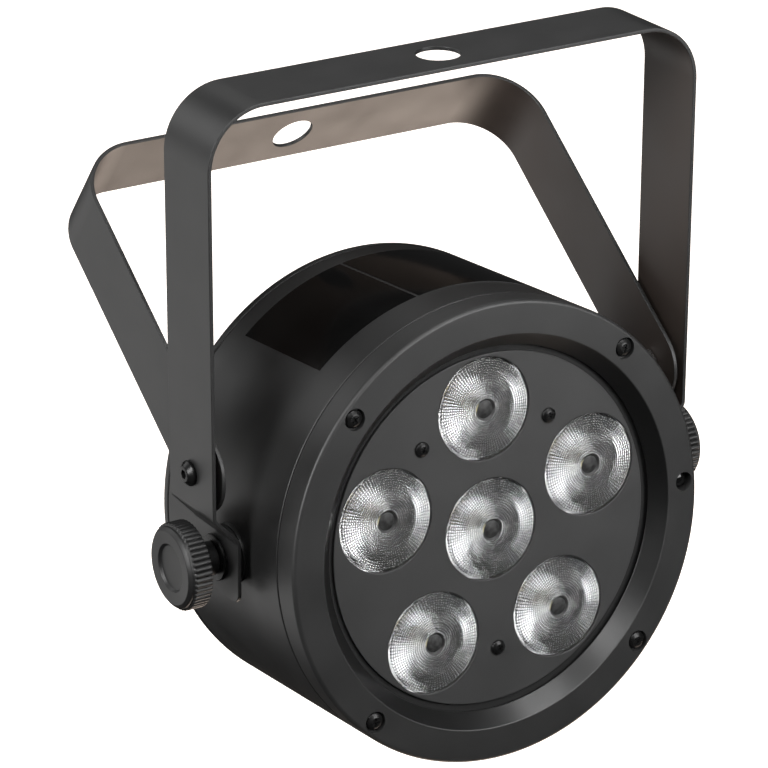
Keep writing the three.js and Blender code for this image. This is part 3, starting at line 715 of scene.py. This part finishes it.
def housing():
    """The barrel, with a flat boss and a through hole on each side."""
    low, high = reach("housing_shell")
    radius = -low.z
    inner = radius - WALL
    shell = lathe(rounded([(inner, low.y, 0.3), (radius, low.y, 0.5), (radius, high.y, 0.5),
                           (inner, high.y, 0.3)]))
    boss = reach("pivot_pad_right")[1].z
    bosses = [moved(moved(disc(boss, radius - 4, high.x, 0.3), ALONG_X), turn) for turn in (Matrix(), LEFT)]
    shell = combine(shell, bosses, "UNION")
    way = moved(rod(0, 0, SIDE_HOLE, -radius - 5, radius + 5), ALONG_X)
    piece("housing_barrel", combine(shell, [way]), LAMP, HOUSING, "lamp", ["housing_shell"])


def blank_labels():
    """Two blank gloss films on top of the barrel, where such a light carries its printed labels."""
    low, high = reach("housing_shell")
    radius = -low.z + LABEL_LIFT
    front = low.y + LABEL_MARGINS[0]
    back = high.y - LABEL_MARGINS[1]
    section = ((radius, front), (radius, back), (radius + LABEL_FILM, back), (radius + LABEL_FILM, front))
    for i, (start, end) in enumerate(LABEL_ARCS):
        bm = bmesh.new()
        rows = []
        for k in range(LABEL_STEPS + 1):
            angle = math.radians(start + (end - start) * k / LABEL_STEPS)
            out = Vector((math.cos(angle), 0, math.sin(angle)))
            rows.append([bm.verts.new(out * r + Vector((0, y, 0))) for r, y in section])
        for a, b in zip(rows, rows[1:]):
            for k in range(4):
                bm.faces.new((a[k], a[(k + 1) % 4], b[(k + 1) % 4], b[k]))
        bm.faces.new(rows[0])
        bm.faces.new(rows[-1])
        bmesh.ops.recalc_face_normals(bm, faces=bm.faces)
        piece(f"blank_label_{i + 1}", bm, LAMP, LABEL, "lamp")


def bezel():
    """The front rim: a flat face, a bevel down to the face plate, screw holes and the receiver's hole."""
    low, high = reach("front_bezel")
    radius = -low.z
    front = low.y
    inner = radius - WALL
    lip = reach("face_plate")[0].y - GAP
    skin = front + FACE_DEPTH
    bm = lathe(rounded([
        (inner, high.y, 0.2), (inner, skin, 0.2), (FACE_RADIUS + 1.6, skin, 0), (LIP_BACK_RADIUS, lip, 0),
        (LIP_RADIUS, lip, 0.3), (FACE_RADIUS, front, 0.6), (radius, front, 1.25), (radius, high.y, 0.5)], 6))
    bosses = []
    cuts = []
    for i in range(BEZEL_SCREWS):
        at = middle(f"bezel_screw_{i + 1}")
        bosses.append(rod(at.x, at.z, SCREW_BOSS, front + 2, high.y, 32))
        cuts.append(rod(at.x, at.z, COUNTERBORE, front - 1, front + COUNTERBORE_DEPTH))
        cuts.append(rod(at.x, at.z, SCREW_HOLE, front, high.y + 1, 32))
    eye = middle("ir_receiver")
    bosses.append(rod(eye.x, eye.z, SCREW_BOSS, front + 2, high.y - 3, 32))
    cuts.append(rod(eye.x, eye.z, RECEIVER_HOLE, front - 1, high.y + 1))
    bm = combine(combine(bm, bosses, "UNION"), cuts)
    # faces inside the flat face, the bevel down to the plate, take the darker copy: painted shade
    for face in bm.faces:
        centre = face.calc_center_median()
        face.material_index = int(math.hypot(centre.x, centre.z) < FACE_RADIUS - 0.5)
    piece("bezel_ring", bm, LAMP, BEZEL, "lamp", ["front_bezel"], more=[BEVEL_PAINTED_SHADE])


def cross_screw(node, turn):
    """A pan-head screw with a cross recess, from its CAD node's box."""
    low, high = reach(node)
    head = (high.x - low.x) / 2
    length = high.y - low.y
    tall = head * 0.5
    profile = rounded([(0, 0, 0), (head * 0.55, 0.05, 0.8), (head, tall * 0.6, 0.5), (head, tall, 0.05),
                       (SHANK, tall, 0), (SHANK, length - 0.8, 0.1), (0, length, 0)], 4)
    span = head * CROSS_REACH
    cuts = [box(span, tall * 1.3, CROSS_WIDTH), box(CROSS_WIDTH, tall * 1.3, span)]
    for cut in cuts:
        for vertex in cut.verts:
            if vertex.co.y > 0:
                vertex.co.x *= CROSS_TAPER
                vertex.co.z *= CROSS_TAPER
    bm = combine(lathe(profile, 48), cuts)
    moved(bm, Matrix.Rotation(math.radians(turn), 4, "Y"))
    return bm


def screws():
    """Every screw's recess stands at its own angle, as screws do when they are tight."""
    turn = FIRST_TURN
    families = (("bezel_screw", BEZEL_SCREWS), ("face_screw", FACE_SCREWS), ("rear_screw", REAR_SCREWS))
    for family, count in families:
        for i in range(count):
            name = f"{family}_{i + 1}"
            low, high = reach(name)
            at = (low + high) / 2
            bm = cross_screw(name, turn)
            turn += NEXT_TURN
            if family == "rear_screw":
                place = Matrix.Translation((at.x, high.y, at.z)) @ Matrix.Rotation(math.pi, 4, "Z")
            else:
                place = Matrix.Translation((at.x, low.y, at.z))
            piece(f"{name}_fine", moved(bm, place), LAMP, SCREW, "lamp", [name], 25)


def receiver():
    """The small domed window in the bezel's fifth hole."""
    low, high = reach("ir_receiver")
    at = (low + high) / 2
    radius = (high.x - low.x) / 2
    profile = rounded([(0, low.y, 0), (radius, low.y + 0.9, 1.6), (radius, high.y, 0.2), (0, high.y, 0)], 8)
    bm = lathe(profile, 48)
    piece("receiver_window", shifted(bm, x=at.x, z=at.z), LAMP, GLOSS, "lamp", ["ir_receiver"])


def face_plate():
    """The disc with the lenses' holes, and a dark ring in the groove round it as painted shadow of the
    bezel's edge.
    """
    low, high = reach("face_plate")
    radius = high.z
    holes = []
    for i in range(LENSES):
        at = middle(f"lens_{i}")
        holes.append(circle(at.x, -at.z, lens_radius() + GAP, 96))
    for i in range(FACE_SCREWS):
        at = middle(f"face_screw_{i + 1}")
        holes.append(circle(at.x, -at.z, FACE_SCREW_HOLE, 32))
    seen = LIP_RADIUS - GROOVE
    bm = sheet(circle(0, 0, seen, ROUND), holes, high.y - low.y, 0.25)
    # the sheet's Z becomes the lamp's Y
    place = Matrix.Translation((0, (low.y + high.y) / 2, 0)) @ Matrix.Rotation(-math.pi / 2, 4, "X")
    piece("face_disc", moved(bm, place), LAMP, PLATE, "lamp", ["face_plate"])
    # a dark ring in the groove round the plate: painted shadow of the bezel's edge
    shadow_ring = ring(seen - SHADOW_RING_LAP, radius, low.y + SHADOW_RING_DEPTH, high.y, 0.2, ROUND)
    piece("face_painted_shadow_ring", shadow_ring, LAMP, RUBBER, "lamp")


# ---- light engine -------------------------------------------------------------------------------

def lens_radius():
    """Radius of a lens where it fills its hole; the flange behind the plate is wider."""
    low, high = reach("lens_0")
    return (high.x - low.x) / 2 - LENS_FLANGE


def lens_mesh():
    """A clear lens with rings of small domes on its front, painted shade in the valleys between them, an eye
    painted dark as shade with a painted glint of the emitter, and a mirrored, curved back.
    """
    front = reach("lens_0")[0].y
    radius = lens_radius()
    flange = reach("face_plate")[1].y + GAP
    pitch = (radius - 0.5 - LENS_EYE) / LENS_RINGS
    shares = [(cell, share) for cell in range(LENS_SPOKES) for share in CELL]
    steps = len(shares)
    angles = [2 * math.pi * (cell + share) / LENS_SPOKES for cell, share in shares]
    bm = bmesh.new()

    def ring_at(r, ys):
        return [bm.verts.new((r * math.sin(a), y, r * math.cos(a))) for a, y in zip(angles, ys)]

    def domed(r, share):
        """Y of each point round a ring of the domed front, furthest back between the domes."""
        valley = front + DIMPLE + LENS_SAG * (r / radius) ** 2
        across = DIMPLE * math.sin(math.pi * share) * min(1, r / FULL_DOMES)
        return [valley - across * math.sin(math.pi * part) for _, part in shares]

    # each look is that of the band inside its ring
    rings = [[bm.verts.new((0, front + DIMPLE, 0))]]
    looks = []
    for r, drop in EYE_RINGS:
        rings.append(ring_at(r, [front + DIMPLE + drop] * steps))
        looks.append(EYE_LOOK)
    for i in range(LENS_RINGS + 1):
        for share in CELL if i < LENS_RINGS else CELL[:1]:
            r = LENS_EYE + pitch * (i + share)
            rings.append(ring_at(r, domed(r, share)))
            if i == 0 and share == 0:
                looks.append(EYE_LOOK)
            else:
                looks.append(VALLEY_LOOK if share in CELL[:2] else CLEAR_LOOK)
    domes_end = len(rings) - 1
    outer = radius + LENS_FLANGE
    for r, y in rounded([(radius, front + 1.1, 0.3), (radius, flange, 0), (outer, flange, 0.1),
                         (outer, flange + 1.2, 0.1), *LENS_BACK], 8):
        rings.append(ring_at(r, [y] * steps) if r > 0 else [bm.verts.new((0, y, 0))])
        looks.append(WALL_LOOK if y > flange + 0.5 and r > POCKET + 0.05 else CLEAR_LOOK)

    def look_of(band, k):
        """Look of the k-th face of a band: the valleys, painted shade, also run outwards between the domes.
        """
        if looks[band] == CLEAR_LOOK and band <= domes_end and shares[k][1] in (CELL[0], CELL[-1]):
            return VALLEY_LOOK
        # a painted glint of the emitter on one arc of the eye's rim
        if band == len(EYE_RINGS) and GLINT_ARC[0] < math.degrees(angles[k]) < GLINT_ARC[1]:
            return GLINT_LOOK
        return looks[band]

    for band, (near, far) in enumerate(zip(rings, rings[1:])):
        for k in range(steps):
            corners = corners_between(near, far, k)
            if len(corners) > 2:
                bm.faces.new(corners).material_index = look_of(band, k)
    bmesh.ops.recalc_face_normals(bm, faces=bm.faces)
    return bm


def lenses():
    """One mesh, copied to each lens's place."""
    made = lens_mesh()
    for i in range(LENSES):
        at = middle(f"lens_{i}")
        piece(f"lens_{i}_clear", shifted(made.copy(), x=at.x, z=at.z), LAMP, ACRYLIC, "lamp",
              [f"lens_{i}"], 50, weighted=False, more=[SILVER, VALLEY_PAINTED_SHADE, EYE_PAINTED_SHADE, GLINT])
    made.free()


# ---- rear ---------------------------------------------------------------------------------------

def rear_cover():
    """The cover with its raised rim, recessed panel, openings and slanted rows of vents."""
    low, high = reach("rear_cover")
    radius = -low.z
    panel = high.y - PANEL_DEPTH
    bm = lathe(rounded([(0, low.y, 0), (radius, low.y, 0.5), (radius, high.y, 2.4), (radius - 9, high.y, 0.6),
                        (radius - 11, panel, 0.5), (0, panel, 0)], 6))
    cuts = []

    def square_cut(node, width, height):
        at = middle(node)
        cuts.append(box(width + 2 * GAP, CUT, height + 2 * GAP, (at.x, high.y, at.z)))

    def round_cut(node, size, start=low.y - 1, steps=SMALL_ROUND):
        at = middle(node)
        cuts.append(rod(at.x, at.z, size, start, high.y + 1, steps))

    window_low, window_high = reach("display_window")
    square_cut("display_window", window_high.x - window_low.x, window_high.z - window_low.z)
    square_cut("power_inlet", *INLET_BODY)
    for name in ("data_in_socket", "data_out_socket"):
        round_cut(name, SOCKET_HOLE)
    for i in range(BUTTONS):
        round_cut(f"menu_button_{i + 1}", BUTTON_HOLE)
    for i in range(REAR_SCREWS):
        round_cut(f"rear_screw_{i + 1}", SCREW_HOLE, steps=32)
        round_cut(f"rear_screw_{i + 1}", REAR_COUNTERBORE, high.y - 1.6)
    for side in (-1, 1):
        for i in range(VENTS):
            x, z = (first + i * step for first, step in zip(VENT_FIRST, VENT_STEP))
            cuts.append(soften(box(VENT_SLOT[0], CUT, VENT_SLOT[1], (side * x, high.y, z)), 0.8))
    piece("rear_cover_fine", combine(bm, cuts), LAMP, HOUSING, "lamp", ["rear_cover"])


def display_window():
    """The dark glass over the display."""
    low, high = reach("display_window")
    at = (low + high) / 2
    bm = soften(box(high.x - low.x, high.y - low.y, high.z - low.z, at), 0.3)
    piece("display_glass", bm, LAMP, GLOSS, "lamp", ["display_window"])


def buttons():
    """Capped buttons with a collar behind the panel and a shallow dish in the cap."""
    for i in range(BUTTONS):
        name = f"menu_button_{i + 1}"
        low, high = reach(name)
        at = (low + high) / 2
        collar = (high.x - low.x) / 2
        cap = collar - 0.9
        bm = lathe(rounded([(0, low.y, 0), (collar, low.y, 0.15), (collar, low.y + 1, 0.15),
                            (cap, low.y + 1, 0), (cap, high.y - 0.1, 0.5), (1.8, high.y - 0.3, 0.8),
                            (0, high.y - 0.5, 0)], 5), 48)
        piece(f"{name}_cap", shifted(bm, x=at.x, z=at.z), LAMP, KNOB, name, [name])


def sockets():
    """Round three-pole data sockets: one with pins in a cup, one with holes in a core."""
    for name, pinned in (("data_in_socket", True), ("data_out_socket", False)):
        low, high = reach(name)
        at = (low + high) / 2
        flange = (high.x - low.x) / 2
        barrel = flange - 1.6
        panel = high.y - FLANGE
        bm = lathe(rounded([(0, low.y, 0), (barrel, low.y, 0.3), (barrel, panel, 0), (flange, panel, 0.1),
                            (flange, high.y, 0.5), (0, high.y, 0)], 4))
        poles = [(POLE_CIRCLE * math.cos(math.radians(a)), POLE_CIRCLE * math.sin(math.radians(a)))
                 for a in POLE_ANGLES]
        outside = high.y + 2
        if pinned:
            bm = combine(bm, [rod(0, 0, 8.6, SOCKET_FLOOR, outside)])
            pins = [shifted(disc(1.2, SOCKET_FLOOR - 0.5, 34.5, 0.5, 24), x=x, z=z) for x, z in poles]
            bm = combine(bm, pins, "UNION")
        else:
            groove = lathe([(8.2, 35), (9.4, 35), (9.4, outside), (8.2, outside)], SMALL_ROUND)
            bm = combine(bm, [groove, *(rod(x, z, 1.5, 29, outside, 24) for x, z in poles)])
        piece(f"{name}_fine", shifted(bm, x=at.x, z=at.z), LAMP, SCREW, "lamp", [name])


def power_inlet():
    """A flanged inlet with three flat pins; its mouth is narrower at the top."""
    low, high = reach("power_inlet")
    at = (low + high) / 2
    width, height = INLET_BODY
    panel = high.y - FLANGE
    # the body reaches into its flange, so that the two join
    end = panel + 0.4
    body = box(width, end - low.y, height, (0, (end + low.y) / 2, 0))
    flange = soften(box(high.x - low.x, FLANGE, high.z - low.z, (0, panel + FLANGE / 2, 0)), 0.5)
    mouth = box(width - 2 * INLET_WALL, 16, height - 2 * INLET_WALL, (0, high.y + 0.3 - 8, 0))
    for vertex in mouth.verts:
        if vertex.co.z > 0:
            vertex.co.x *= MOUTH_TAPER
    bm = combine(combine(body, [flange], "UNION"), [soften(mouth, 0.8)])
    pins = [soften(box(2, 9, 5, (x, 30.4, z)), 0.4) for x, z in ((-7, -1.5), (0, 2), (7, -1.5))]
    bm = shifted(combine(bm, pins, "UNION"), x=at.x, z=at.z)
    piece("power_inlet_fine", bm, LAMP, KNOB, "lamp", ["power_inlet"])


# ---- studio -------------------------------------------------------------------------------------

CAMERA_AT = Vector((-573.2, -884.8, 335.8)) * MM
CAMERA_AZIMUTH = -32.046
CAMERA_ELEVATION = 22.544
CAMERA_ROLL = 0.162
CAMERA_LENS = 182.09
CAMERA_SHIFT = (0.00595, 0.00038)
FLOOR_DROP = 0.17                   # metres from the object's lowest point to the floor
FLOOR_SIDE = 16
FLOOR_THICKNESS = 0.02
BACKDROP_RADIUS = 7.9
ROOM_LIGHT = 0.02


def camera():
    """Azimuth turns the camera about the vertical, elevation lifts it, roll turns it about its view."""
    data = bpy.data.cameras.new("camera")
    data.lens = CAMERA_LENS
    data.sensor_width = 36
    data.shift_x, data.shift_y = CAMERA_SHIFT
    data.clip_start = 0.05
    data.clip_end = 50
    holder = bpy.data.objects.new("camera", data)
    turn = (Matrix.Rotation(math.radians(CAMERA_AZIMUTH), 4, "Z")
            @ Matrix.Rotation(math.radians(90 - CAMERA_ELEVATION), 4, "X")
            @ Matrix.Rotation(math.radians(CAMERA_ROLL), 4, "Z"))
    holder.matrix_world = Matrix.Translation(CAMERA_AT) @ turn
    bpy.context.scene.collection.objects.link(holder)
    bpy.context.scene.camera = holder


def softbox(name, azimuth, elevation, distance, size, power, colour=(1, 1, 1)):
    """A softbox that faces the object, placed like a camera by azimuth and elevation in degrees."""
    data = bpy.data.lights.new(name, "AREA")
    data.shape = "RECTANGLE"
    data.size, data.size_y = size
    data.energy = power
    data.color = colour
    holder = bpy.data.objects.new(name, data)
    a = math.radians(azimuth)
    e = math.radians(elevation)
    back = Vector((math.sin(a) * math.cos(e), -math.cos(a) * math.cos(e), math.sin(e)))
    target = Vector(joints["lamp_tilt"]["pos_m"])
    holder.location = target + back * distance
    holder.rotation_mode = "QUATERNION"
    holder.rotation_quaternion = back.to_track_quat("Z", "Y")
    holder.visible_camera = False
    bpy.context.scene.collection.objects.link(holder)
    return holder


def glowing(name, colour, strength):
    """A white studio surface: pale paint with enough light of its own to read as plain white."""
    shader = Shader(name, Roughness=0.9, Emission_Strength=strength)
    slow = shader.noise(900, 2)
    shader.colours(slow, tuple(0.97 * c for c in colour) + (1,), colour + (1,))
    shader.principled.inputs["Emission Color"].default_value = colour + (1,)
    return shader.material


def studio():
    world = bpy.data.worlds.new("studio")
    bpy.context.scene.world = world
    world.use_nodes = True
    room = world.node_tree.nodes["Background"]
    room.inputs["Color"].default_value = (1, 1, 1, 1)
    room.inputs["Strength"].default_value = ROOM_LIGHT
    slab = box(FLOOR_SIDE, FLOOR_SIDE, FLOOR_THICKNESS, (0, 0, cad_box[0].z - FLOOR_DROP))
    floor = plain_object("floor", slab)
    floor.data.materials.append(glowing("floor_white", (1.0, 0.94, 0.89), 1.15))
    half_circle = [(BACKDROP_RADIUS * math.sin(math.radians(a)), BACKDROP_RADIUS * math.cos(math.radians(a)))
                   for a in range(0, 181, 5)]
    backdrop = plain_object("backdrop", lathe(half_circle, 72))
    backdrop.data.materials.append(glowing("backdrop_white", (1.0, 1.0, 1.0), 1.0))
    # both are seen as plain white, and neither lights nor shades the object
    for surface in (floor, backdrop):
        surface.visible_diffuse = False
        surface.visible_glossy = False
        surface.visible_transmission = False
        surface.visible_shadow = False
    softbox("key_left", -80, 25, 1.6, (0.45, 1.1), 22)
    softbox("top_front", -38, 46, 1.7, (0.7, 0.4), 9)
    softbox("top_right", 24, 58, 1.6, (0.6, 0.4), 9)
    softbox("fill_front", 25, 22, 0.45, (0.3, 0.25), 1.7)
    softbox("back_top", 150, 48, 2.0, (1.3, 0.7), 4.5)
    softbox("sweep_left", -148, -18, 1.8, (1.6, 1.3), 5.5, (1, 0.99, 0.98))
    softbox("rear_fill", 215, 28, 2.0, (1.0, 1.0), 6)
    softbox("floor_bounce", 108, -56, 0.57, (0.5, 0.5), 3, (1, 0.84, 0.72))
    # these two light only what is seen through the lenses
    for sparkle in (softbox("sparkle_high", 3, 34, 1.5, (0.55, 0.55), 30),
                    softbox("sparkle_low", 28, -14, 1.5, (0.5, 0.5), 20)):
        sparkle.visible_diffuse = False
        sparkle.visible_glossy = False
    bpy.context.scene.view_settings.view_transform = "Standard"


dress_cad_nodes()
outer_yoke()
inner_yoke()
pivots()
housing()
blank_labels()
bezel()
screws()
receiver()
face_plate()
lenses()
rear_cover()
display_window()
buttons()
sockets()
power_inlet()
camera()
studio()
